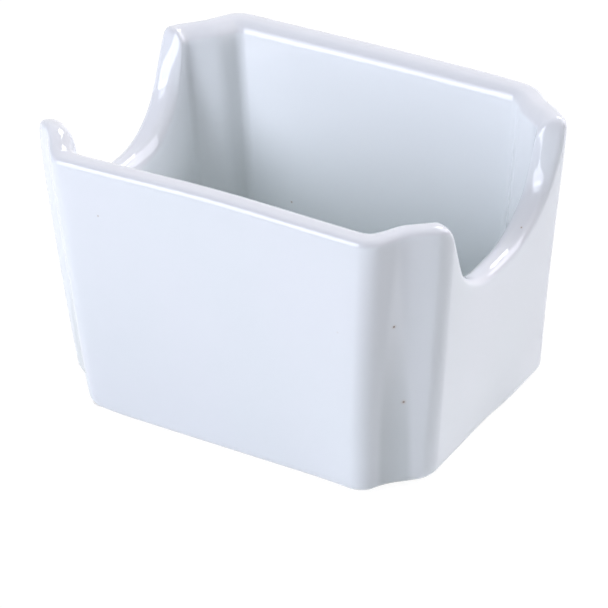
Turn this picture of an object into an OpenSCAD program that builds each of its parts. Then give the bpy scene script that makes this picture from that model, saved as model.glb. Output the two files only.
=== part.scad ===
// Sugar packet holder: one porcelain casting with coved corners, two finger
// dips and a rolled lip, standing on a bare foot ring.
// Millimetres, +Z up. The origin is on the table, under the middle of the foot.
// The long walls face -Y and +Y, the dipped walls face -X and +X.

/* [Overall size] */
// Width over the two dipped side walls, at the lip
holder_w = 95; // [85:1:115]
// Depth over the front and back walls, at the lip
holder_d = 73.8; // [66:0.2:90]
// Height of the lip above the table
holder_h = 58.4; // [52:0.2:75]

/* [Walls] */
// Thickness of every wall
wall_t = 6; // [4.8:0.1:6.6]
// Thickness of the floor above the recess in the underside
floor_t = 4; // [3:0.5:6]
// How far each side wall leans in from the lip to the table
side_draft = 4.9; // [2:0.1:6]
// How far the front and back walls lean in from the lip to the table
front_draft = 2; // [1:0.2:4]
// Radius where the well's walls meet its floor
well_fillet_r = 6; // [3:0.5:8]
// Radius of the lower outside edge
base_edge_r = 2.4; // [0.8:0.2:2.4]

/* [Corners] */
// Half width of the flat front and back panels at the lip
panel_half_w = 35.8; // [32:0.1:38]
// Half width of the flat front and back panels at the table
panel_foot_half_w = 32.5; // [30:0.1:34]
// Half length of the flat side panels at the lip
side_half_l = 25.2; // [20:0.2:27]
// Half length of the flat side panels at the table
side_foot_half_l = 23.3; // [20:0.1:25]
// Depth of the shallow cove across each corner
cove_depth = 1; // [0.4:0.1:1.6]
// Radius where a front or back panel turns into the cove
panel_edge_r = 4.4; // [3:0.1:6]
// Radius along the middle of the cove
cove_r = 13; // [6:1:16]
// Radius where the cove turns into a side panel
side_edge_r = 7.6; // [3:0.2:8]
// Smallest radius of the well's corners
well_corner_r = 1.6; // [1:0.1:2.4]

/* [Lip] */
// Height of the rounded lip above the straight wall
lip_h = 2.8; // [1.8:0.1:3.4]
// Rise in the middle of the front lip
front_crown = 0.8; // [0:0.1:2]
// Rise in the middle of the back lip
back_crown = 0.5; // [0:0.1:2]
// Half width of the rise
crown_half_w = 21; // [14:1:28]

/* [Finger dips] */
// Depth of each dip below the lip
dip_depth = 20.2; // [14:0.2:26]
// Half length of each dip where its slopes would meet the lip
dip_half_l = 24.4; // [20:0.2:27]
// Steepness of the dip's slopes, in degrees
dip_slope = 62; // [50:1:72]
// Radius of the rounded bottom of the dip
dip_bottom_r = 20.6; // [12:0.2:22]
// Radius where a slope rolls over into the lip
dip_shoulder_r = 4; // [3.6:0.2:6]

/* [Foot] */
// Distance of the foot ring inside the lower outside edge
foot_inset = 2.8; // [2.5:0.1:4]
// Width of the foot ring
foot_w = 3.4; // [2.5:0.1:5]
// Depth of the recess inside the foot ring
foot_h = 1.6; // [1:0.1:2.4]
// Height of the glazed lower edge above the table
edge_lift = 0.4; // [0.2:0.1:0.8]

/* [Hidden] */

// Counts of steps along each curved stretch
panel_edge_steps = 5;
cove_steps = 4;
side_edge_steps = 5;
panel_steps = 7;
side_steps = 10;
shoulder_steps = 7;
cove_run_steps = 2;
base_edge_steps = 4;
wall_steps = 4;
lip_steps = 12;
fillet_steps = 6;

half_w = holder_w / 2;
half_d = holder_d / 2;
half_w_foot = half_w - side_draft;
half_d_foot = half_d - front_draft;
core_h = holder_h - lip_h;
floor_z = foot_h + floor_t;

// Quarter and full turns
quarter = 90;
half_turn = 180;

// Unit vector at an angle
function unit(a) = [cos(a), sin(a)];

// Left-hand normal of a plan vector
function left(v) = [-v[1], v[0]];

// Straight blend between two values or points
function mix(a, b, share) = a + (b - a) * share;

// One quarter of the plan outline is four straight runs: the side panel, the
// rear run of the cove, the front run of the cove and the front or back panel.
// Each run is its outward normal's angle and its distance from the centre line.
function cove_point(panel, side) =
    let(chord = panel - side, middle = (panel + side) / 2, inward = left(chord) / norm(chord))
    middle + inward * cove_depth;

function run_between(a, b) =
    let(along = (b - a) / norm(b - a), out = [along[1], -along[0]])
    [atan2(out[1], out[0]), out * a];

function quarter_runs(half_x, half_y, panel, side) =
    let(
        a = [panel, half_y],
        c = [half_x, side],
        b = cove_point(a, c)
    )
    [[0, half_x], run_between(c, b), run_between(b, a), [quarter, half_y]];

// Runs at the lip and at the table, before any inset
lip_runs = quarter_runs(half_w, half_d, panel_half_w, side_half_l);
foot_runs = quarter_runs(half_w_foot, half_d_foot, panel_foot_half_w, side_foot_half_l);

// Corner where two neighbouring runs meet, each moved in by the inset
function run_corner(p, q, inset) =
    let(
        turn = sin(q[0] - p[0]),
        u = unit(p[0]) * (q[1] - inset),
        v = unit(q[0]) * (p[1] - inset)
    )
    left(u - v) / turn;

// Points round a corner between two runs. A corner that turns outwards loses
// the inset from its radius, and the cove's bend gains it.
function corner_arc(p, q, radius, inset, steps) =
    let(
        turn = q[0] - p[0],
        side = sign(turn),
        r = side > 0 ? max(radius - inset, well_corner_r) : radius + inset,
        tangent = r * tan(abs(turn) / 2),
        start = run_corner(p, q, inset) + left(unit(p[0])) * -tangent,
        centre = start - unit(p[0]) * r * side
    )
    [for (k = [0:steps]) centre + unit(p[0] + turn * k / steps) * r * side];

// Points strictly between two ends, for the straight runs
function between(a, b, steps) = [for (k = [1:steps - 1]) mix(a, b, k / steps)];

// A quarter of the outline, from the middle of a side panel to the middle of a
// front or back panel
function quarter_outline(runs, inset) =
    let(
        side_edge = corner_arc(runs[0], runs[1], side_edge_r, inset, side_edge_steps),
        cove = corner_arc(runs[1], runs[2], cove_r, inset, cove_steps),
        panel_edge = corner_arc(runs[2], runs[3], panel_edge_r, inset, panel_edge_steps),
        side_middle = [runs[0][1] - inset, 0],
        panel_middle = [0, runs[3][1] - inset]
    )
    concat(
        [side_middle],
        between(side_middle, side_edge[0], side_steps),
        side_edge,
        between(side_edge[side_edge_steps], cove[0], shoulder_steps),
        cove,
        between(cove[cove_steps], panel_edge[0], cove_run_steps),
        panel_edge,
        between(panel_edge[panel_edge_steps], panel_middle, panel_steps),
        [panel_middle]
    );

// The whole outline, counterclockwise from the middle of the +X side
function outline(runs, inset) =
    let(q = quarter_outline(runs, inset), last = len(q) - 1)
    concat(
        [for (k = [0:last]) q[k]],
        [for (k = [1:last]) [-q[last - k][0], q[last - k][1]]],
        [for (k = [1:last]) -q[k]],
        [for (k = [1:last - 1]) [q[last - k][0], -q[last - k][1]]]
    );

// Centre line of the lip beside a dip, as a height over the distance from the
// middle of the side. It runs flat, round the bottom, up the slope, over the
// shoulder and on along the lip.
core_bottom_r = dip_bottom_r + lip_h;
core_shoulder_r = dip_shoulder_r - lip_h;
bottom_end = dip_half_l - dip_depth / tan(dip_slope) - dip_bottom_r * tan(dip_slope / 2);
bottom_centre_z = holder_h - dip_depth + dip_bottom_r;
slope_start = bottom_end + core_bottom_r * sin(dip_slope);
slope_start_z = bottom_centre_z - core_bottom_r * cos(dip_slope);
shoulder_centre = dip_half_l + dip_shoulder_r * tan(dip_slope / 2);
shoulder_start = shoulder_centre - core_shoulder_r * sin(dip_slope);

function dip_z(y) =
    y <= bottom_end ? bottom_centre_z - core_bottom_r :
    y <= slope_start ? bottom_centre_z - sqrt(pow(core_bottom_r, 2) - pow(y - bottom_end, 2)) :
    y <= shoulder_start ? slope_start_z + (y - slope_start) * tan(dip_slope) :
    y <= shoulder_centre
        ? holder_h - dip_shoulder_r + sqrt(pow(core_shoulder_r, 2) - pow(shoulder_centre - y, 2))
        : core_h;

// Height of the lip's centre line above a point of the plan, with the rise of
// the front and back lips
function core_z(p) =
    dip_z(abs(p[1])) + (p[1] < 0 ? front_crown : back_crown) * exp(-pow(p[0] / crown_half_w, 2));

// Points of a wall face that leans from the lip's outline to the foot's
function lean(foot, top, z) = mix(foot, top, z / holder_h);

function raised(p, z) = [p[0], p[1], z];

// One level ring of points at an inset
function level_ring(inset, z) =
    let(foot = outline(foot_runs, inset), top = outline(lip_runs, inset))
    [for (j = [0:len(foot) - 1]) raised(lean(foot[j], top[j], z), z)];

outer_foot = outline(foot_runs, 0);
outer_lip = outline(lip_runs, 0);
inner_foot = outline(foot_runs, wall_t);
inner_lip = outline(lip_runs, wall_t);
columns = len(outer_foot);
lip_core_z = [for (p = outer_lip) core_z(p)];

// Rings of one wall face between a level and the lip's centre line
function wall_rings(foot, top, low_z, shares) = [
    for (s = shares) [
        for (j = [0:columns - 1])
            let(z = mix(low_z, lip_core_z[j], s)) raised(lean(foot[j], top[j], z), z)
    ]
];

// The lip: half an ellipse across the wall at each column, set square to the
// lip's own path so that it keeps its section down into the dips
core_ring = [
    for (j = [0:columns - 1])
        let(
            z = lip_core_z[j],
            o = lean(outer_foot[j], outer_lip[j], z),
            i = lean(inner_foot[j], inner_lip[j], z)
        )
        [raised((o + i) / 2, z), raised((o - i) / 2, 0)]
];
up = [0, 0, 1];
lip_up = [
    for (j = [0:columns - 1])
        let(
            along = core_ring[(j + 1) % columns][0] - core_ring[(j + columns - 1) % columns][0],
            t = along / norm(along),
            m = up - t * (up * t)
        )
        m / norm(m)
];
lip_rings = [
    for (k = [0:lip_steps]) [
        for (j = [0:columns - 1])
            let(a = half_turn * k / lip_steps)
            core_ring[j][0] + core_ring[j][1] * cos(a) + lip_up[j] * lip_h * sin(a)
    ]
];

// Faces of a skin over rings of points, closed at each end by a fan round one
// centre point that follows the rings
function skin_faces(rings) =
    let(first_centre = rings * columns, last_centre = first_centre + 1, last = (rings - 1) * columns)
    concat(
        [for (j = [0:columns - 1]) [first_centre, j, (j + 1) % columns]],
        [
            for (i = [0:rings - 2], j = [0:columns - 1])
                let(a = i * columns + j, b = i * columns + (j + 1) % columns)
                each [[a, a + columns, b + columns], [a, b + columns, b]]
        ],
        [for (j = [0:columns - 1]) [last_centre, last + (j + 1) % columns, last + j]]
    );

// The glazed vessel as one skin: recess, lower edge, outer wall, lip, inner
// wall, rounded corner and floor of the well
module body() {
    skirt = outline(foot_runs, foot_inset);
    wall_shares = [for (k = [1:wall_steps - 1]) k / wall_steps];
    inner_shares = [for (k = [1:wall_steps - 1]) 1 - k / wall_steps];
    rings = concat(
        [[for (p = skirt) raised(p, foot_h)]],
        [[for (p = skirt) raised(p, edge_lift)]],
        [
            for (k = [0:base_edge_steps])
                let(a = quarter * k / base_edge_steps)
                level_ring(base_edge_r * (1 - sin(a)), edge_lift + base_edge_r * (1 - cos(a)))
        ],
        wall_rings(outer_foot, outer_lip, edge_lift + base_edge_r, wall_shares),
        lip_rings,
        wall_rings(inner_foot, inner_lip, floor_z + well_fillet_r, inner_shares),
        [
            for (k = [0:fillet_steps])
                let(a = quarter * k / fillet_steps)
                level_ring(wall_t + well_fillet_r * (1 - cos(a)), floor_z + well_fillet_r * (1 - sin(a)))
        ]
    );
    color([0.93, 0.94, 0.97])
        polyhedron(
            points = concat([for (r = rings) each r], [[0, 0, foot_h], [0, 0, floor_z]]),
            faces = skin_faces(len(rings)),
            convexity = 6
        );
}

// The bare ring that the holder stands on
module foot_ring() {
    color([0.86, 0.83, 0.78])
        linear_extrude(foot_h) difference() {
            polygon(outline(foot_runs, foot_inset));
            polygon(outline(foot_runs, foot_inset + foot_w));
        }
}

body();
foot_ring();
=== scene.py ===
"""Looks of an open porcelain holder for flat sugar packets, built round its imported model."""

import math

import bmesh
import bpy
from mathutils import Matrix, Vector


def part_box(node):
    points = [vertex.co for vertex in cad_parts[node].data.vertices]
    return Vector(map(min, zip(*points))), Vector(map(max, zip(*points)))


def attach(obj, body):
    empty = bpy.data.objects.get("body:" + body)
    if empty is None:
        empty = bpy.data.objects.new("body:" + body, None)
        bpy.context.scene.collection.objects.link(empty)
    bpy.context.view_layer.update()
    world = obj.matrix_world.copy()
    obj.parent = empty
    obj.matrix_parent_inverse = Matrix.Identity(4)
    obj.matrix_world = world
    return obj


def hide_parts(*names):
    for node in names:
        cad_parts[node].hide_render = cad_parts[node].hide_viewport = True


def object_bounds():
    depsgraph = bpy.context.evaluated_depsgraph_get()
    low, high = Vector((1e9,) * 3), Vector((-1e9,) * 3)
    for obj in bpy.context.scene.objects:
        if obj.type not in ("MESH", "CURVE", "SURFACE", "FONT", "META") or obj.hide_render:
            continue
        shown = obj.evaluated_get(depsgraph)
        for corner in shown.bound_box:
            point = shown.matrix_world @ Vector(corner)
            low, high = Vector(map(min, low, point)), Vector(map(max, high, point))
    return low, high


bl_info = {
    "name": "Sugar Packet Holder",
    "version": (1, 0, 0),
    "blender": (4, 5, 0),
    "location": "View3D > Sidebar > Packet Holder",
    "description": "Glazed vessel, bare foot and a small studio round the packed model",
    "category": "Add Mesh",
}

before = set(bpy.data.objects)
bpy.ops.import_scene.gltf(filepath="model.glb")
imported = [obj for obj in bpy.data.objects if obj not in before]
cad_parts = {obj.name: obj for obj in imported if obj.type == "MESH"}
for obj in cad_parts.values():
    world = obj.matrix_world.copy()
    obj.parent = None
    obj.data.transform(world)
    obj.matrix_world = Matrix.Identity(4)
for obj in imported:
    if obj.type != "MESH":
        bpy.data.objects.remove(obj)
CAD_LOW, CAD_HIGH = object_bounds()
BODY_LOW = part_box("body")[0]
NO_MOVE = (0, 0, 0)
# Two places closer than the first are the same, and an edge is level within the second
SAME = 1e-5
LEVEL = 0.001
# Bevel profiles of a straight cut and of a true round
STRAIGHT = 0.25
ROUND = 0.5
# The lip starts to drop towards the back here, over this length
BACK_DROP = (0.015, 0.012)
# The ears start to rise here across the holder, over this length
EAR_ACROSS = (0.0355, 0.0070)
# They start this far before the end of a dip, over this length
EAR_BEFORE = 0.0012
EAR_LENGTH = 0.0040
# Place and radius of the larger specks
SPECKS = (
    ((0.03782, -0.03079, 0.03811), 0.00022),
    ((0.03852, -0.02829, 0.02006), 0.00026),
    ((-0.02458, -0.03643, 0.04799), 0.00012),
    ((0.04346, 0.01096, 0.04020), 0.00015),
    ((-0.02001, 0.02958, 0.01945), 0.00016),
)
# Painted light and shade in the well: its glaze is drawn lighter above and darker towards the floor,
# turning to the well's tones between the two of each pair
WELL_ACROSS = (0.0400, 0.0385)
WELL_ALONG = (0.0325, 0.0310)
WELL_SHADE_DOWN = (0.0440, 0.0080)
# Painted shade where the surface faces up, and only above the well's foot: the lip is drawn darker
# and pinker
LIP_SHADE_FACING = (0.15, 0.65)
LIP_SHADE_ABOVE = (0.020, 0.034)
# Scales of the noise and the cells in the two materials
CLOUD_SCALE = 38
DRIFT_SCALE = 2600
GRIT_SCALE = 62
WAVE_SCALE = 30
PEEL_SCALE = 420
HOLE_SCALE = 150
GRAIN_SCALE = 2400
PATCH_SCALE = 120
RUB_SCALE = 260
# Height of the finest relief of the glaze and of the bare clay
GLAZE_RELIEF = 0.00008
CLAY_RELIEF = 0.00005
PEEL_SHARE = 0.012
# The camera's angles in degrees, read from the photograph, with its distance and target
CAMERA_AZIMUTH = 31.24
CAMERA_ELEVATION = 31.11
CAMERA_ROLL = 1.32
CAMERA_DISTANCE = 0.6907
CAMERA_TARGET = (0.00226, -0.01877, 0.028)
SENSOR_WIDTH = 36
# Side of the picture in pixels, and the pixel that the target falls on
PICTURE = 608
TARGET_PIXEL = (265.29, 297.2)
# Name, azimuth, elevation, size, power and tint of each lamp
LAMPS = (
    ("low_key_lamp", -121, 19, 0.75, 11.1, (0.89, 0.92, 1.05)),
    ("key_lamp", -121, 37, 0.45, 2.8, (0.89, 0.95, 1.07)),
    ("right_lamp", 52, 38, 1.0, 13.5, (0.93, 0.92, 1.03)),
    ("back_lamp", 100, 42, 0.42, 4.9, (0.98, 0.98, 1.0)),
    ("high_lamp", 12, 63, 1.0, 2.6, (0.95, 1.0, 0.96)),
)


class HolderShape(bpy.types.PropertyGroup):
    """Sizes of the porcelain vessel."""

    half_width: bpy.props.FloatProperty(
        name="Half width", description="Half the width over the dipped side walls at the lip",
        default=0.0472, unit="LENGTH")
    half_depth: bpy.props.FloatProperty(
        name="Half depth", description="Half the depth over the front and back walls at the lip",
        default=0.0369, unit="LENGTH")
    height: bpy.props.FloatProperty(
        name="Height", description="Height of the lip above the table, without its rise",
        default=0.0584, unit="LENGTH")
    wall: bpy.props.FloatProperty(
        name="Wall", description="Thickness of the walls", default=0.006, unit="LENGTH")
    side_draft: bpy.props.FloatProperty(
        name="Side draft", description="How far each side wall leans in down to the table",
        default=0.0049, unit="LENGTH")
    front_draft: bpy.props.FloatProperty(
        name="Front draft",
        description="How far the front and back walls lean in down to the table",
        default=0.002, unit="LENGTH")
    panel: bpy.props.FloatProperty(
        name="Panel", description="Half width of the flat front and back panels at the lip",
        default=0.0358, unit="LENGTH")
    panel_foot: bpy.props.FloatProperty(
        name="Panel at the table", description="Half width of the flat panels at the table",
        default=0.0325, unit="LENGTH")
    side: bpy.props.FloatProperty(
        name="Side", description="Half length of the flat side panels at the lip",
        default=0.0257, unit="LENGTH")
    side_foot: bpy.props.FloatProperty(
        name="Side at the table", description="Half length of the flat side panels at the table",
        default=0.0237, unit="LENGTH")
    cove: bpy.props.FloatProperty(
        name="Cove", description="Depth of the shallow cove across each corner",
        default=0.0020, unit="LENGTH")
    cove_place: bpy.props.FloatProperty(
        name="Cove place",
        description="Where the cove is deepest, as a share of its width from the panel",
        default=0.42)
    panel_edge: bpy.props.FloatProperty(
        name="Panel edge", description="Radius where a panel turns into the cove",
        default=0.0048, unit="LENGTH")
    cove_bend: bpy.props.FloatProperty(
        name="Cove bend", description="Radius along the middle of the cove",
        default=0.0110, unit="LENGTH")
    well_cove: bpy.props.FloatProperty(
        name="Well cove", description="Depth of the same hollow where the well follows it",
        default=0.0015, unit="LENGTH")
    well_bend: bpy.props.FloatProperty(
        name="Well bend",
        description="Radius along the middle of the cove, seen from inside the well",
        default=0.0062, unit="LENGTH")
    side_edge: bpy.props.FloatProperty(
        name="Side edge", description="Radius where the cove turns into a side panel",
        default=0.0046, unit="LENGTH")
    well_edge: bpy.props.FloatProperty(
        name="Well corners", description="Radius of the corners inside the well",
        default=0.0024, unit="LENGTH")
    base_edge: bpy.props.FloatProperty(
        name="Base edge", description="Radius of the lower outside edge",
        default=0.0024, unit="LENGTH")
    floor_height: bpy.props.FloatProperty(
        name="Floor", description="Height of the well's floor above the table",
        default=0.0056, unit="LENGTH")
    well_fillet: bpy.props.FloatProperty(
        name="Well fillet", description="Radius where the walls meet the floor",
        default=0.006, unit="LENGTH")
    dip_depth: bpy.props.FloatProperty(
        name="Dip depth", description="Depth of each finger dip below the lip",
        default=0.0202, unit="LENGTH")
    dip_half: bpy.props.FloatProperty(
        name="Dip half length",
        description="Half the length of a dip where its slopes would meet the lip",
        default=0.0242, unit="LENGTH")
    dip_slope: bpy.props.FloatProperty(
        name="Dip slope", description="Steepness of the slopes of a dip",
        default=math.radians(68), subtype="ANGLE")
    dip_shift: bpy.props.FloatProperty(
        name="Left dip", description="How far the left dip is cut towards the front",
        default=0.0014, unit="LENGTH")
    dip_bottom: bpy.props.FloatProperty(
        name="Dip bottom", description="Radius of the rounded bottom of a dip",
        default=0.0206, unit="LENGTH")
    dip_shoulder: bpy.props.FloatProperty(
        name="Dip shoulder", description="Radius where a slope rolls over into the front lip",
        default=0.0018, unit="LENGTH")
    back_shoulder: bpy.props.FloatProperty(
        name="Back shoulder", description="Radius where a slope rolls over into the back lip",
        default=0.0038, unit="LENGTH")
    front_crown: bpy.props.FloatProperty(
        name="Front crown", description="Rise in the middle of the front lip",
        default=0.0008, unit="LENGTH")
    back_crown: bpy.props.FloatProperty(
        name="Back crown", description="Rise in the middle of the back lip",
        default=0.0002, unit="LENGTH")
    crown_half: bpy.props.FloatProperty(
        name="Crown half width", description="Half width of the rise of the lips",
        default=0.021, unit="LENGTH")
    back_lip: bpy.props.FloatProperty(
        name="Back lip", description="How much lower the back lip stands than the front one",
        default=0.0003, unit="LENGTH")
    ear_rise: bpy.props.FloatProperty(
        name="Ear rise", description="Rise of the lip over the coved corners",
        default=0.0008, unit="LENGTH")
    back_ear_share: bpy.props.FloatProperty(
        name="Back ears", description="Rise of the back ears as a share of the front ones",
        default=0.1)
    lip_outside: bpy.props.FloatProperty(
        name="Lip outside", description="Radius of the lip towards the outside",
        default=0.0018, unit="LENGTH")
    lip_inside: bpy.props.FloatProperty(
        name="Lip inside", description="Radius of the lip towards the well",
        default=0.0028, unit="LENGTH")


class GlazeLook(bpy.types.PropertyGroup):
    """Colours and gloss of the glaze."""

    white: bpy.props.FloatVectorProperty(
        name="White", description="Colour of the glazed porcelain", subtype="COLOR", size=4,
        default=(0.83, 0.855, 0.875, 1.0))
    pooled: bpy.props.FloatVectorProperty(
        name="Pooled glaze", description="Colour of the cloudy patches where the glaze lies thicker",
        subtype="COLOR", size=4, default=(0.81, 0.85, 0.86, 1.0))
    # Painted light: the upper half of the well is drawn lighter than the glaze outside
    well_painted_light: bpy.props.FloatVectorProperty(
        name="Well", description="Colour of the upper half of the well, where the glaze lies even",
        subtype="COLOR", size=4, default=(0.90, 0.925, 0.94, 1.0))
    # Painted shade: the well is drawn darker towards its floor
    well_painted_shade: bpy.props.FloatVectorProperty(
        name="Foot of the well", description="Colour where the glaze has pooled low in the well",
        subtype="COLOR", size=4, default=(0.69, 0.73, 0.735, 1.0))
    # Painted shade: the up-facing lip is drawn darker and pinker
    lip: bpy.props.FloatVectorProperty(
        name="Lip", description="Colour where the glaze runs thin over the lip",
        subtype="COLOR", size=4, default=(0.79, 0.79, 0.815, 1.0))
    stain: bpy.props.FloatVectorProperty(
        name="Stain", description="Colour of the stain round a speck", subtype="COLOR", size=4,
        default=(0.62, 0.55, 0.47, 1.0))
    speck: bpy.props.FloatVectorProperty(
        name="Iron specks", description="Colour of the iron specks", subtype="COLOR", size=4,
        default=(0.20, 0.12, 0.07, 1.0))
    gloss: bpy.props.FloatProperty(
        name="Gloss roughness", description="Roughness of the fired glaze", default=0.012)


class FootLook(bpy.types.PropertyGroup):
    """Colours of the bare foot."""

    bisque: bpy.props.FloatVectorProperty(
        name="Bisque", description="Colour of the bare fired clay", subtype="COLOR", size=4,
        default=(0.80, 0.775, 0.72, 1.0))
    worn: bpy.props.FloatVectorProperty(
        name="Worn bisque", description="Colour where the foot is rubbed and stained",
        subtype="COLOR", size=4, default=(0.58, 0.54, 0.47, 1.0))


class StudioSet(bpy.types.PropertyGroup):
    """Lamps, floor and camera."""

    brightness: bpy.props.FloatProperty(
        name="Brightness", description="Level of all the lamps together", default=1.0)
    lamp_distance: bpy.props.FloatProperty(
        name="Lamp distance", description="Distance of each lamp from the holder",
        default=1.3, unit="LENGTH")
    ambient: bpy.props.FloatProperty(
        name="Surroundings", description="Level of the dim room round the object", default=0.02)
    lens: bpy.props.FloatProperty(
        name="Lens", description="Focal length of the camera in millimetres", default=207.2)


class Value:
    """An output of a node. Sums on it add Math nodes."""

    def __init__(self, graph, socket):
        self.graph = graph
        self.socket = socket

    def sum_node(self, operation, first, second):
        made = self.graph.node("ShaderNodeMath", {"operation": operation}, {0: first, 1: second})
        return made["Value"]

    def __add__(self, other):
        return self.sum_node("ADD", self, other)

    def __radd__(self, other):
        return self.sum_node("ADD", other, self)

    def __sub__(self, other):
        return self.sum_node("SUBTRACT", self, other)

    def __mul__(self, other):
        return self.sum_node("MULTIPLY", self, other)


class Graph:
    """A node tree that is filled one node at a time."""

    def __init__(self, tree):
        self.tree = tree
        tree.nodes.clear()

    def node(self, kind, settings, values):
        """Adds a node, sets it up and fills its sockets with values or links."""
        made = self.tree.nodes.new(kind)
        for name, setting in settings.items():
            setattr(made, name, setting)
        for name, value in values.items():
            if isinstance(value, Value):
                self.tree.links.new(value.socket, made.inputs[name])
            else:
                made.inputs[name].default_value = value
        return {output.name: Value(self, output) for output in made.outputs if output.enabled}

    def fade(self, value, start, end):
        """Goes smoothly from 0 to 1 while the value goes from start to end."""
        return self.node("ShaderNodeMapRange", {"interpolation_type": "SMOOTHSTEP"}, {
            "Value": value, "From Min": start, "From Max": end})["Result"]

    def magnitude(self, value):
        """A value without its sign."""
        return self.node("ShaderNodeMath", {"operation": "ABSOLUTE"}, {0: value})["Value"]

    def limit(self, value):
        """A value held between 0 and 1."""
        settings = {"operation": "ADD", "use_clamp": True}
        return self.node("ShaderNodeMath", settings, {0: value, 1: 0})["Value"]

    def noise(self, place, scale, detail):
        """Soft noise round a place."""
        values = {"Vector": place, "Scale": scale, "Detail": detail}
        return self.node("ShaderNodeTexNoise", {}, values)["Fac"]

    def cells(self, place, scale):
        """Scattered cells round a place, by the sockets Distance and Color."""
        values = {"Vector": place, "Scale": scale, "Randomness": 1}
        return self.node("ShaderNodeTexVoronoi", {}, values)

    def relief(self, height, strength, distance):
        """Normal of a surface with fine relief."""
        values = {"Height": height, "Strength": strength, "Distance": distance}
        return self.node("ShaderNodeBump", {}, values)["Normal"]

    def seen(self):
        """1 for a ray that ends in the camera, also by a mirror or through glass."""
        rays = self.node("ShaderNodeLightPath", {}, {})
        return rays["Is Camera Ray"] + rays["Is Glossy Ray"] + rays["Is Transmission Ray"]

    def principled(self, values):
        """Ends the tree of a material in a Principled shader."""
        shader = self.node("ShaderNodeBsdfPrincipled", {}, values)["BSDF"]
        self.node("ShaderNodeOutputMaterial", {}, {"Surface": shader})

    def blend(self, share, first, second):
        """Mixes two colours."""
        made = self.tree.nodes.new("ShaderNodeMix")
        made.data_type = "RGBA"
        inputs = [s for s in made.inputs if s.enabled]
        for socket, value in zip(inputs, (share, first, second)):
            if isinstance(value, Value):
                self.tree.links.new(value.socket, socket)
            else:
                socket.default_value = value
        return Value(self, next(s for s in made.outputs if s.enabled))


def new_material(name):
    """A material with an empty node tree."""
    material = bpy.data.materials.new(name)
    material.use_nodes = True
    return material, Graph(material.node_tree)


def begin():
    """Leaves nothing selected before a piece is made."""
    if bpy.context.mode != "OBJECT":
        bpy.ops.object.mode_set(mode="OBJECT")
    bpy.ops.object.select_all(action="DESELECT")


def pick(obj, kind, test):
    """Selects the vertices, edges or faces that pass a test, and nothing else."""
    kinds = ("VERT", "EDGE", "FACE")
    bpy.context.tool_settings.mesh_select_mode = tuple(k == kind for k in kinds)
    mesh = bmesh.from_edit_mesh(obj.data)
    mesh.select_mode = {kind}
    for parts in (mesh.faces, mesh.edges, mesh.verts):
        for part in parts:
            part.select_set(False)
    for part in dict(zip(kinds, (mesh.verts, mesh.edges, mesh.faces)))[kind]:
        if test(part):
            part.select_set(True)
    mesh.select_flush_mode()
    bmesh.update_edit_mesh(obj.data)


def upright(edge):
    """True for an edge that runs from the bottom of a wall to its top."""
    a, b = edge.verts
    return abs(a.co.z - b.co.z) > abs(a.co.x - b.co.x) + abs(a.co.y - b.co.y)


def resize(x_share, y_share):
    """Scales the selection in plan about the middle of the holder."""
    bpy.ops.transform.resize(value=(x_share, y_share, 1), center_override=NO_MOVE)


def wall_outline(shape, inset):
    """Half sizes of the outline at the lip and the table, moved in by an inset."""
    levels = []
    for half_x, half_y, panel, side in (
        (shape.half_width, shape.half_depth, shape.panel, shape.side),
        (shape.half_width - shape.side_draft, shape.half_depth - shape.front_draft,
         shape.panel_foot, shape.side_foot),
    ):
        a = Vector((panel, half_y))
        c = Vector((half_x, side))
        chord = a - c
        out = Vector((chord.y, -chord.x)).normalized()
        b = a.lerp(c, shape.cove_place) - out * (shape.well_cove if inset else shape.cove)
        turn_a = (a - b).angle(Vector((-1, 0)))
        turn_c = (b - c).angle(Vector((0, 1)))
        turn_b = (a - b).angle(b - c)
        a_in = a - Vector((math.tan(turn_a / 2), 1)) * inset
        c_in = c - Vector((1, math.tan(turn_c / 2))) * inset
        b_in = b - out * inset / math.cos(turn_b / 2)
        levels.append({"a": a_in, "b": b_in, "c": c_in, "turns": (turn_a, turn_b, turn_c)})
    return levels


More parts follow.
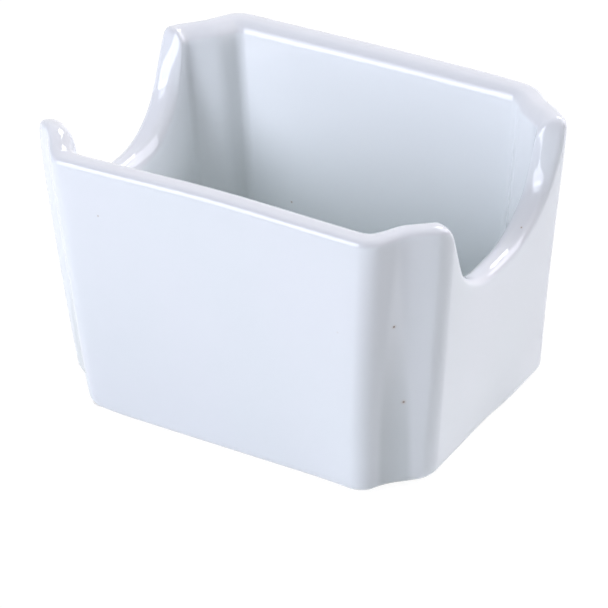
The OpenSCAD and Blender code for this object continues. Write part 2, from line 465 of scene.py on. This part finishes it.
def make_wall(name, shape, inset, low, high, radii, steps):
    """One face of the wall, as an open sleeve of upright strips."""
    lip, foot = wall_outline(shape, inset)

    def at(height):
        share = height / shape.height
        return {key: foot[key].lerp(lip[key], share) for key in ("a", "b", "c")}

    top, bottom = at(high), at(low)
    bpy.ops.mesh.primitive_cube_add(size=2, location=(0, 0, (low + high) / 2))
    obj = bpy.context.object
    obj.name = name
    obj.scale = (top["c"].x, top["a"].y, (high - low) / 2)
    bpy.ops.object.transform_apply(location=True, rotation=True, scale=True)
    bpy.ops.object.mode_set(mode="EDIT")
    bpy.ops.mesh.select_mode(type="EDGE")

    # The ends come off, then each corner is cut back to a flat with a line down its middle
    pick(obj, "FACE", lambda f: abs(f.normal.z) > abs(f.normal.x) + abs(f.normal.y))
    bpy.ops.mesh.delete(type="ONLY_FACE")
    pick(obj, "EDGE", upright)
    cut = top["c"].x - top["a"].x
    bpy.ops.mesh.bevel(offset=cut, offset_type="OFFSET", segments=2, profile=STRAIGHT,
                       affect="EDGES")

    # Which corner line a vertex is on, from its place
    def line(v):
        if abs(abs(v.co.x) - top["c"].x) < SAME:
            return "c"
        if abs(abs(v.co.y) - top["a"].y) < SAME:
            return "a"
        return "b"

    mesh = bmesh.from_edit_mesh(obj.data)
    groups = {}
    for v in mesh.verts:
        level = "top" if v.co.z > (low + high) / 2 else "bottom"
        groups.setdefault((line(v), level), []).append(v.index)
    for (key, level), members in groups.items():
        goal = (top if level == "top" else bottom)[key]
        mesh = bmesh.from_edit_mesh(obj.data)
        mesh.verts.ensure_lookup_table()
        sample = mesh.verts[members[0]].co
        pick(obj, "VERT", lambda v: v.index in members)
        resize(goal.x / abs(sample.x), goal.y / abs(sample.y))

    # The three lines of each corner are rounded, each by its own radius
    for key, turn in zip(("b", "a", "c"), (1, 0, 2)):
        goal = top[key]
        angle = (lip["turns"][turn] + foot["turns"][turn]) / 2
        pick(obj, "EDGE", lambda e: upright(e) and any(
            abs(abs(v.co.x) - goal.x) < SAME and abs(abs(v.co.y) - goal.y) < SAME for v in e.verts))
        bpy.ops.mesh.bevel(offset=radii[key] * math.tan(angle / 2), offset_type="OFFSET",
                           segments=steps[key], profile=ROUND, affect="EDGES")

    # Upright cuts across the flat panels
    for axis, places in ((1, steps["side"]), (0, steps["panel"])):
        for place in places:
            bpy.ops.mesh.select_all(action="SELECT")
            normal = [0, 0, 0]
            normal[axis] = 1
            spot = [0, 0, 0]
            spot[axis] = place
            bpy.ops.mesh.bisect(plane_co=spot, plane_no=normal, use_fill=False, clear_inner=False,
                                clear_outer=False)
    bpy.ops.object.mode_set(mode="OBJECT")
    return obj


def around(v):
    """Angle of a vertex round the holder, from the middle of the front."""
    return math.atan2(v.co.x, -v.co.y)


def ease(value, start, width):
    """Goes smoothly from 0 to 1 over a width."""
    share = min(max((value - start) / width, 0), 1)
    return share * share * (3 - 2 * share)


def quarter_bend(radius, segments):
    """Steps in and down round a quarter circle."""
    turns = [math.radians(90 * k / segments) for k in range(1, segments + 1)]
    return [(radius * (1 - math.cos(turn)), -radius * math.sin(turn)) for turn in turns]


def both_ways(step, count):
    """Evenly spaced places on both sides of the middle."""
    return [sign * step * (k + 0.5) for k in range(count) for sign in (-1, 1)]


def dip_height(shape, y, rise, round_off):
    """Height of the lip at a distance from the middle of a finger dip."""
    tan_slope = math.tan(shape.dip_slope)
    sin_slope = math.sin(shape.dip_slope)
    half_bend = math.tan(shape.dip_slope / 2)
    bottom_end = shape.dip_half - shape.dip_depth / tan_slope - shape.dip_bottom * half_bend
    centre = shape.height - shape.dip_depth + shape.dip_bottom
    slope_start = bottom_end + shape.dip_bottom * sin_slope
    slope_low = centre - shape.dip_bottom * math.cos(shape.dip_slope)
    shoulder = shape.dip_half + round_off * half_bend
    if y <= bottom_end:
        return centre - shape.dip_bottom
    if y <= slope_start:
        return centre - math.sqrt(shape.dip_bottom ** 2 - (y - bottom_end) ** 2)
    if y <= shoulder - round_off * sin_slope:
        return slope_low + (y - slope_start) * tan_slope
    if y <= shoulder:
        drop = math.sqrt(round_off ** 2 - (shoulder - y) ** 2)
        return shape.height - round_off + drop
    return shape.height + rise


def lip_line(shape, place):
    """Height of the top of the lip over a place in plan."""
    crown = shape.front_crown if place.y < 0 else shape.back_crown
    rise = crown * math.exp(-((place.x / shape.crown_half) ** 2))
    rise -= shape.back_lip * ease(place.y, *BACK_DROP)
    along = place.y + (shape.dip_shift if place.x < 0 else 0)
    ear = ease(abs(place.x), *EAR_ACROSS)
    ear *= ease(abs(place.y), shape.dip_half - EAR_BEFORE, EAR_LENGTH)
    ear *= 1 if place.y < 0 else shape.back_ear_share
    round_off = shape.dip_shoulder if place.y < 0 else shape.back_shoulder
    return dip_height(shape, abs(along), rise, round_off) + shape.ear_rise * ear


class HOLDER_OT_vessel(bpy.types.Operator):
    """Models the glazed vessel: two sleeves joined over the lip, a floor and a recessed base."""

    bl_idname = "packet_holder.vessel"
    bl_label = "Glazed Vessel"
    # Segments of the three bends of a corner, from the panel to the side
    BENDS = {"a": 5, "b": 4, "c": 6}
    # Spacing and count of the upright cuts each way from the middle of a wall
    SIDE_CUTS = (0.002, 10)
    PANEL_CUTS = (0.007, 4)
    # Segments and profile of the two rounds of the lip
    LIP_OUTSIDE = (4, 0.5)
    LIP_INSIDE = (5, 0.42)
    # Level rings between the lip and the foot of the walls
    RINGS = 3
    # The base turns in past its edge and up into a recess, and the floor goes in past its fillet
    BEND_STEPS = 5
    RECESS_IN = 0.0010
    RECESS_UP = 0.0013
    FLOOR_IN = 0.004
    # Levels of subdivision that finish the vessel
    SMOOTHING = 2
    # Place, reach, spread and move of each spot where the casting is out of true
    CASTING = (
        ((-0.0420, -0.0290, 0.0060), 0.012, 0.060, (0.0010, 0.0003, 0)),
        ((-0.0400, -0.0270, 0.0030), 0.005, 0.012, (0.0004, 0.0002, 0.0005)),
        ((-0.0340, -0.0340, 0.0030), 0.003, 0.007, (0.0004, 0.0001, 0.0004)),
        ((-0.0460, -0.0270, 0.0570), 0.005, 0.016, (0.0007, 0, 0)),
        ((-0.0390, -0.0275, 0.0585), 0.0036, 0.0080, (0.0001, 0, 0.0016)),
        ((-0.0345, -0.0285, 0.0570), 0.003, 0.0090, (-0.0005, -0.0003, 0)),
        ((-0.0385, -0.0290, 0.0520), 0.004, 0.012, (-0.0008, -0.0004, 0)),
        ((-0.0460, 0.0250, 0.0580), 0.003, 0.009, (0.0003, 0, -0.0008)),
        ((0.0370, 0.0360, 0.0580), 0.003, 0.009, (-0.0010, -0.0006, 0)),
        ((0.0415, 0.0310, 0.0580), 0.0035, 0.008, (0.0008, 0.0005, 0)),
        ((0.0395, -0.0310, 0.0580), 0.0035, 0.008, (0.0004, -0.0004, 0)),
        ((-0.0400, -0.0310, 0.0580), 0.0035, 0.008, (-0.0004, -0.0004, 0)),
        ((-0.0400, 0.0310, 0.0580), 0.0035, 0.008, (-0.0004, 0.0004, 0)),
        ((0.0465, 0.0265, 0.0450), 0.006, 0.040, (-0.0003, 0, 0)),
        ((0.0370, -0.0310, 0.0030), 0.004, 0.009, (0.0006, -0.0007, -0.0003)),
        ((0.0425, 0.0150, 0.0020), 0.006, 0.013, (0.0005, 0.0002, -0.0002)),
    )

    # Place, reach and passes of the corners of the lip that were sponged smooth before firing
    SPONGED = (
        ((-0.0385, -0.0285, 0.0565), 0.0085, 4),
        ((0.0455, 0.0262, 0.0580), 0.0050, 4),
    )

    def execute(self, context):
        shape = context.scene.holder_shape
        begin()
        mesh_top = shape.height
        low = BODY_LOW.z + shape.base_edge
        well_low = shape.floor_height + shape.well_fillet
        steps = {
            **self.BENDS, "side": both_ways(*self.SIDE_CUTS), "panel": both_ways(*self.PANEL_CUTS)}
        radii = {"a": shape.panel_edge, "b": shape.cove_bend, "c": shape.side_edge}
        outer = make_wall("vessel", shape, 0, low, mesh_top, radii, steps)
        begin()
        radii = {"a": shape.well_edge, "b": shape.well_bend, "c": shape.well_edge}
        inner = make_wall("well", shape, shape.wall, well_low, mesh_top, radii, steps)

        # The two rims are paired strip by strip, and each pair is let down to the lip's line
        begin()
        outer.select_set(True)
        inner.select_set(True)
        context.view_layer.objects.active = outer
        bpy.ops.object.join()
        bpy.ops.object.mode_set(mode="EDIT")
        mesh = bmesh.from_edit_mesh(outer.data)
        rim = [v for v in mesh.verts if abs(v.co.z - mesh_top) < SAME]
        halves = self.two_rings(rim)
        outside = {v.index for v in halves[0]}
        moves = []
        for pair in zip(*halves):
            goal = lip_line(shape, pair[0].co)
            for v in pair:
                strip = next(e for e in v.link_edges if upright(e))
                foot = strip.other_vert(v).co
                share = (v.co.z - goal) / (v.co.z - foot.z)
                moves.append((v.index, (foot - v.co) * share))
        pick(outer, "EDGE", upright)
        bpy.ops.mesh.mark_seam()
        for index, move in moves:
            pick(outer, "VERT", lambda w: w.index == index)
            bpy.ops.transform.translate(value=move)

        # A flat rim joins the two sleeves, and both its edges are rounded into the lip
        lowest = well_low + SAME
        pick(outer, "EDGE", lambda e: e.is_boundary and all(v.co.z > lowest for v in e.verts))
        bpy.ops.mesh.mark_sharp()
        bpy.ops.mesh.bridge_edge_loops(type="SINGLE")
        bpy.ops.mesh.select_all(action="SELECT")
        bpy.ops.mesh.normals_make_consistent(inside=False)
        for radius, (segments, profile), only in (
            (shape.lip_outside, self.LIP_OUTSIDE, outside),
            (shape.lip_inside, self.LIP_INSIDE, None),
        ):
            pick(outer, "EDGE", lambda e: not e.smooth and (
                only is None or all(v.index in only for v in e.verts)))
            bpy.ops.mesh.mark_sharp(clear=True)
            bpy.ops.mesh.bevel(offset=radius, offset_type="OFFSET", segments=segments,
                               profile=profile, affect="EDGES")

        # Level rings round both sleeves
        pick(outer, "EDGE", lambda e: e.seam)
        bpy.ops.mesh.mark_seam(clear=True)
        bpy.ops.mesh.subdivide_edgering(number_cuts=self.RINGS, interpolation="LINEAR")

        # The cast piece isn't quite true, and it leans in most at the front left corner
        for spot, reach, spread, move in self.CASTING:
            centre = Vector(spot)
            pick(outer, "VERT", lambda v: (v.co - centre).length < reach)
            bpy.ops.transform.translate(
                value=move, use_proportional_edit=True, proportional_edit_falloff="SMOOTH",
                proportional_size=spread)

        # Two corners of the lip are wiped softer than the rest
        for spot, reach, passes in self.SPONGED:
            centre = Vector(spot)
            pick(outer, "VERT", lambda v: (v.co - centre).length < reach)
            bpy.ops.mesh.vertices_smooth(factor=0.5, repeat=passes)

        edge, fillet = shape.base_edge, shape.well_fillet
        self.turn_under(outer, low, quarter_bend(edge, self.BEND_STEPS) + [
            (edge + self.RECESS_IN, -edge), (edge + self.RECESS_IN, -edge + self.RECESS_UP)])
        self.turn_under(outer, well_low, quarter_bend(fillet, self.BEND_STEPS) + [
            (fillet + self.FLOOR_IN, -fillet)])
        bpy.ops.mesh.select_all(action="SELECT")
        bpy.ops.mesh.normals_make_consistent(inside=False)
        bpy.ops.object.mode_set(mode="OBJECT")

        smooth = outer.modifiers.new("Soft casting", "SUBSURF")
        smooth.levels = self.SMOOTHING
        smooth.render_levels = self.SMOOTHING
        bpy.ops.object.modifier_apply(modifier=smooth.name)
        bpy.ops.object.shade_smooth()
        outer.data.materials.clear()
        outer.data.materials.append(glaze(context.scene.glaze_look))
        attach(outer, "root")
        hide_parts("body")
        return {"FINISHED"}

    def two_rings(self, rim):
        """Splits the rim's vertices into the outer and the inner ring, each in order."""
        rings = []
        left = set(rim)
        while left:
            seed = left.pop()
            ring = {seed}
            queue = [seed]
            while queue:
                v = queue.pop()
                for e in v.link_edges:
                    w = e.other_vert(v)
                    if w in left:
                        left.discard(w)
                        ring.add(w)
                        queue.append(w)
            rings.append(sorted(ring, key=around))
        rings.sort(key=lambda ring: -max(v.co.x for v in ring))
        if len(rings[0]) != len(rings[-1]) or len(rings) != 2:
            raise RuntimeError("the two rims do not match")
        return rings

    def turn_under(self, obj, level, path):
        """Carries an open lower edge on round a bend and closes it with a floor."""
        pick(obj, "EDGE", lambda e: e.is_boundary and all(
            abs(v.co.z - level) < LEVEL for v in e.verts))
        mesh = bmesh.from_edit_mesh(obj.data)
        half_x = max(v.co.x for v in mesh.verts if v.select)
        half_y = max(v.co.y for v in mesh.verts if v.select)
        last_in, last_down = 0, 0
        for inset, down in path:
            bpy.ops.mesh.extrude_edges_move(
                TRANSFORM_OT_translate={"value": (0, 0, down - last_down)})
            resize((half_x - inset) / (half_x - last_in), (half_y - inset) / (half_y - last_in))
            last_in, last_down = inset, down
        # A smaller ring with fewer points keeps the last face simple
        bpy.ops.mesh.extrude_edges_move(TRANSFORM_OT_translate={"value": NO_MOVE})
        resize(0.1, 0.1)
        bpy.ops.mesh.remove_doubles(threshold=LEVEL)
        bpy.ops.mesh.edge_face_add()


def apart(graph, place, spot):
    """Distance of the shaded point from a spot."""
    settings = {"operation": "DISTANCE"}
    return graph.node("ShaderNodeVectorMath", settings, {0: place, 1: spot})["Value"]


def glaze(look):
    """Clear gloss glaze over white porcelain."""
    material, graph = new_material("glazed_porcelain")
    place = graph.node("ShaderNodeTexCoord", {}, {})["Object"]
    parts = graph.node("ShaderNodeSeparateXYZ", {}, {"Vector": place})
    normal = graph.node("ShaderNodeNewGeometry", {}, {})["Normal"]
    facing = graph.node("ShaderNodeSeparateXYZ", {}, {"Vector": normal})["Z"]

    # Painted shade: the up-facing lip is drawn darker and pinker, and the well is painted lighter
    # above and darker towards its floor
    darkened = graph.fade(facing, *LIP_SHADE_FACING) * graph.fade(parts["Z"], *LIP_SHADE_ABOVE)
    across = graph.fade(graph.magnitude(parts["X"]), *WELL_ACROSS)
    along = graph.fade(graph.magnitude(parts["Y"]), *WELL_ALONG)
    inside = across * along
    down = graph.fade(parts["Z"], *WELL_SHADE_DOWN)
    well_shading = graph.blend(down, tuple(look.well_painted_light), tuple(look.well_painted_shade))
    cloud = graph.noise(place, CLOUD_SCALE, 3)
    tone = graph.blend(graph.fade(cloud, 0.38, 0.72) * 0.6, tuple(look.white), tuple(look.pooled))
    tone = graph.blend(inside, tone, well_shading)
    # Painted shade over the up-facing lip
    tone = graph.blend(darkened * 0.8, tone, tuple(look.lip))

    # Iron specks burnt through the glaze, each with a pale stain round it
    drift = graph.noise(place, DRIFT_SCALE, 2)
    core = 0
    stain = 0
    for spot, radius in SPECKS:
        far = apart(graph, place, spot) + drift * radius - radius * 0.5
        core = core + graph.fade(far, radius, radius * 0.4)
        stain = stain + graph.fade(far, radius * 3, radius * 0.8) * 0.4
    grit = graph.cells(place, GRIT_SCALE)
    chance = graph.node("ShaderNodeSeparateColor", {}, {"Color": grit["Color"]})["Red"]
    rare = graph.fade(chance, 0.50, 0.55)
    core = core + graph.fade(grit["Distance"], 0.011, 0.005) * rare * 0.8
    stain = stain + graph.fade(grit["Distance"], 0.026, 0.010) * rare * 0.3
    tone = graph.blend(graph.limit(stain), tone, tuple(look.stain))
    tone = graph.blend(graph.limit(core), tone, tuple(look.speck))

    # The fired surface is a little wavy, with a faint peel and a few pinholes
    wave = graph.noise(place, WAVE_SCALE, 1)
    peel = graph.noise(place, PEEL_SCALE, 2)
    holes = graph.cells(place, HOLE_SCALE)["Distance"]
    swell = wave + peel * PEEL_SHARE - graph.fade(holes, 0.030, 0.010) * 0.25
    normal = graph.relief(swell, 1, GLAZE_RELIEF)
    rough = look.gloss + peel * PEEL_SHARE + graph.limit(core) * 0.25
    graph.principled({"Base Color": tone, "Roughness": rough, "IOR": 1.5, "Normal": normal})
    return material


def bare_clay(look):
    """Matt bare porcelain of the foot, rubbed and faintly stained by the table."""
    material, graph = new_material("bare_porcelain")
    place = graph.node("ShaderNodeTexCoord", {}, {})["Object"]
    low = graph.node("ShaderNodeSeparateXYZ", {}, {"Vector": place})["Z"]
    grain = graph.noise(place, GRAIN_SCALE, 4)
    patches = graph.noise(place, PATCH_SCALE, 5)
    squeezed = {"Vector": place, "Scale": (1, 14, 1)}
    long_marks = graph.node("ShaderNodeMapping", {}, squeezed)["Vector"]
    rubs = graph.noise(long_marks, RUB_SCALE, 3)
    touched = graph.fade(low, 0.0004, 0.0001)
    soiled = graph.fade(patches, 0.45, 0.72) * 0.7 + touched * graph.fade(rubs, 0.5, 0.7) * 0.5
    tone = graph.blend(graph.limit(soiled), tuple(look.bisque), tuple(look.worn))
    normal = graph.relief(grain + rubs * 0.5, 0.5, CLAY_RELIEF)
    rough = 0.8 + grain * 0.15 - touched * 0.15
    graph.principled({"Base Color": tone, "Roughness": rough, "Normal": normal})
    return material


class HOLDER_OT_foot(bpy.types.Operator):
    """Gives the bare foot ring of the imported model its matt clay."""

    bl_idname = "packet_holder.foot"
    bl_label = "Bare Foot"

    def execute(self, context):
        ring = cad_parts["foot_ring"]
        ring.data.materials.clear()
        ring.data.materials.append(bare_clay(context.scene.foot_look))
        return {"FINISHED"}


def direction(azimuth, elevation):
    """The way from the holder to a lamp, from angles in degrees. Azimuth 0 is +X."""
    turn, tilt = math.radians(azimuth), math.radians(elevation)
    level = math.cos(tilt)
    return Vector((math.cos(turn) * level, math.sin(turn) * level, math.sin(tilt)))


def add_lamp(studio, name, way, size, power, tint):
    """A large soft lamp that faces the holder."""
    middle = (CAD_LOW + CAD_HIGH) / 2
    bpy.ops.object.light_add(type="AREA", location=middle + way * studio.lamp_distance)
    lamp = bpy.context.object
    lamp.name = name
    lamp.data.shape = "SQUARE"
    lamp.data.size = size
    lamp.data.energy = power * studio.brightness
    lamp.data.color = tint
    lamp.rotation_euler = way.to_track_quat("Z", "Y").to_euler()


class HOLDER_OT_studio(bpy.types.Operator):
    """Sets up the floor, the lamps, the pale room and the camera."""

    bl_idname = "packet_holder.studio"
    bl_label = "Studio"

    def execute(self, context):
        studio = context.scene.studio_set
        begin()
        self.camera(context, studio)
        self.floor()
        self.room(context, studio)
        for name, azimuth, elevation, size, power, tint in LAMPS:
            add_lamp(studio, name, direction(azimuth, elevation), size, power, tint)
        context.scene.view_settings.view_transform = "Standard"
        return {"FINISHED"}

    def camera(self, context, studio):
        azimuth = math.radians(CAMERA_AZIMUTH)
        elevation = math.radians(CAMERA_ELEVATION)
        roll = math.radians(CAMERA_ROLL)
        back = Vector((math.sin(azimuth) * math.cos(elevation),
                       -math.cos(azimuth) * math.cos(elevation), math.sin(elevation)))
        place = Vector(CAMERA_TARGET) + back * CAMERA_DISTANCE
        bpy.ops.object.camera_add(location=place)
        camera = bpy.context.object
        camera.name = "camera"
        camera.rotation_mode = "QUATERNION"
        camera.data.lens = studio.lens
        camera.data.sensor_width = SENSOR_WIDTH
        camera.data.shift_x = (PICTURE / 2 - TARGET_PIXEL[0]) / PICTURE
        camera.data.shift_y = (TARGET_PIXEL[1] - PICTURE / 2) / PICTURE
        context.scene.camera = camera
        bpy.context.view_layer.update()

        # The camera is rolled a little about its line of sight
        right = Vector((math.cos(azimuth), math.sin(azimuth), 0))
        top = right.cross(-back)
        rolled_right = right * math.cos(roll) - top * math.sin(roll)
        rolled_top = right * math.sin(roll) + top * math.cos(roll)
        matrix = camera.matrix_world.copy()
        for row in range(3):
            matrix[row][0] = rolled_right[row]
            matrix[row][1] = rolled_top[row]
            matrix[row][2] = back[row]
        camera.matrix_world = matrix
        camera.data.clip_start = 0.05
        camera.data.clip_end = 20

    def floor(self):
        bpy.ops.mesh.primitive_plane_add(size=6, location=(0, 0, -0.00005))
        plane = bpy.context.object
        plane.name = "floor"
        material, graph = new_material("floor_white")
        plain = graph.node("ShaderNodeBsdfDiffuse", {}, {"Color": (0.9, 0.9, 0.9, 1)})["BSDF"]
        glowing = {"Color": (1, 1, 1, 1), "Strength": 1.06}
        glow = graph.node("ShaderNodeEmission", {}, glowing)["Emission"]
        mixed = graph.node("ShaderNodeMixShader", {}, {
            0: graph.seen() * 0.9, 1: plain, 2: glow})["Shader"]
        graph.node("ShaderNodeOutputMaterial", {}, {"Surface": mixed})
        plane.data.materials.append(material)

    def room(self, context, studio):
        world = bpy.data.worlds.new("pale_room")
        context.scene.world = world
        world.use_nodes = True
        graph = Graph(world.node_tree)
        level = graph.seen() * (1 - studio.ambient) + studio.ambient
        white = {"Color": (1, 1, 1, 1), "Strength": level}
        sky = graph.node("ShaderNodeBackground", {}, white)["Background"]
        graph.node("ShaderNodeOutputWorld", {}, {"Surface": sky})


class HOLDER_PT_panel(bpy.types.Panel):
    """Lists the steps in the sidebar."""

    bl_idname = "HOLDER_PT_panel"
    bl_label = "Packet Holder"
    bl_space_type = "VIEW_3D"
    bl_region_type = "UI"
    bl_category = "Packet Holder"

    def draw(self, context):
        for operator in OPERATORS:
            self.layout.operator(operator.bl_idname)


GROUPS = {
    "holder_shape": HolderShape,
    "glaze_look": GlazeLook,
    "foot_look": FootLook,
    "studio_set": StudioSet,
}
OPERATORS = (HOLDER_OT_studio, HOLDER_OT_vessel, HOLDER_OT_foot)


def register():
    for name, group in GROUPS.items():
        bpy.utils.register_class(group)
        setattr(bpy.types.Scene, name, bpy.props.PointerProperty(type=group))
    for item in (*OPERATORS, HOLDER_PT_panel):
        bpy.utils.register_class(item)


def unregister():
    for item in (HOLDER_PT_panel, *reversed(OPERATORS)):
        bpy.utils.unregister_class(item)
    for name, group in GROUPS.items():
        delattr(bpy.types.Scene, name)
        bpy.utils.unregister_class(group)


def main():
    """Builds the whole scene."""
    register()
    bpy.ops.packet_holder.studio()
    bpy.ops.packet_holder.vessel()
    bpy.ops.packet_holder.foot()


if __name__ == "__main__":
    main()
